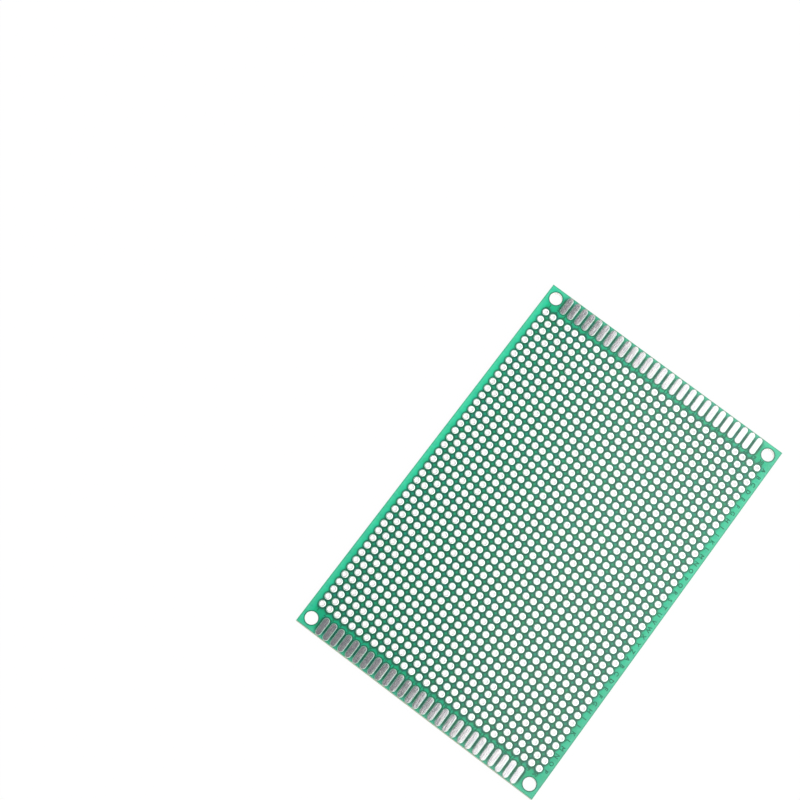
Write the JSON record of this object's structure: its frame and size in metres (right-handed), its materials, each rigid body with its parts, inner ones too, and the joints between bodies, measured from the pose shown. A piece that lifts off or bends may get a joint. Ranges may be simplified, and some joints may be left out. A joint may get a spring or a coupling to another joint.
{
  "type": "prototype board",
  "caption": "Bare double-sided prototype board: green glass-fibre sheet with a grid of plated round holes, finger pads along both short edges and a mounting hole in each corner.",
  "frame": {"origin": "middle of the board's underside, at the height of its lowest pads", "axes": "+X across the board's short side, +Y along its long side towards the first lettered row, +Z out of the face that the picture shows"},
  "size_m": [0.08, 0.12, 0.0017],
  "materials": {
    "laminate": "bare glass-fibre laminate, straw green where it is cut",
    "solder_mask": "green solder mask, satin gloss",
    "tinned_metal": "bright solder finish over copper"
  },
  "bodies": {
    "root": {"laminate": "laminate", "mask_top": "solder_mask", "mask_bottom": "solder_mask", "finger_pads_top_back": "tinned_metal", "finger_pads_top_front": "tinned_metal", "finger_pads_bottom_back": "tinned_metal", "finger_pads_bottom_front": "tinned_metal", "plated_row_01": "tinned_metal", "plated_row_02": "tinned_metal", "plated_row_03": "tinned_metal", "plated_row_04": "tinned_metal", "plated_row_05": "tinned_metal", "plated_row_06": "tinned_metal", "plated_row_07": "tinned_metal", "plated_row_08": "tinned_metal", "plated_row_09": "tinned_metal", "plated_row_10": "tinned_metal", "plated_row_11": "tinned_metal", "plated_row_12": "tinned_metal", "plated_row_13": "tinned_metal", "plated_row_14": "tinned_metal", "plated_row_15": "tinned_metal", "plated_row_16": "tinned_metal", "plated_row_17": "tinned_metal", "plated_row_18": "tinned_metal", "plated_row_19": "tinned_metal", "plated_row_20": "tinned_metal", "plated_row_21": "tinned_metal", "plated_row_22": "tinned_metal", "plated_row_23": "tinned_metal", "plated_row_24": "tinned_metal", "plated_row_25": "tinned_metal", "plated_row_26": "tinned_metal", "plated_row_27": "tinned_metal", "plated_row_28": "tinned_metal", "plated_row_29": "tinned_metal", "plated_row_30": "tinned_metal", "plated_row_31": "tinned_metal", "plated_row_32": "tinned_metal", "plated_row_33": "tinned_metal", "plated_row_34": "tinned_metal", "plated_row_35": "tinned_metal", "plated_row_36": "tinned_metal", "plated_row_37": "tinned_metal", "plated_row_38": "tinned_metal", "plated_row_39": "tinned_metal", "plated_row_40": "tinned_metal", "plated_row_41": "tinned_metal", "plated_row_42": "tinned_metal"}
  },
  "joints": []
}
